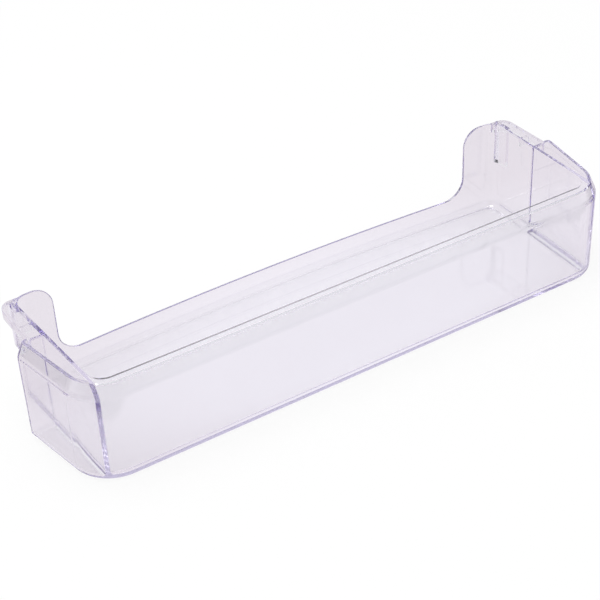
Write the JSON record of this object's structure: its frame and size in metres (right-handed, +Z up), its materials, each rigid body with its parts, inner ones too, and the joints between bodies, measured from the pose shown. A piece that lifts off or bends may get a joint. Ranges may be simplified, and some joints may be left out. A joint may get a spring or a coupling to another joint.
{
  "type": "refrigerator door shelf",
  "caption": "Clear moulded shelf for a refrigerator door: a long tray with a curved front, pocketed wings, a low bowed back, raised ears and a hook at each end.",
  "frame": {"origin": "middle of the footprint, on the underside of the floor", "axes": "+X along the shelf, -Y to the curved front, +Y to the door, +Z up"},
  "size_m": [0.4722, 0.14, 0.08],
  "materials": {
    "clear_plastic": "clear, polished, with a light violet tint"
  },
  "bodies": {
    "root": {"door_shelf": "clear_plastic"}
  },
  "joints": []
}
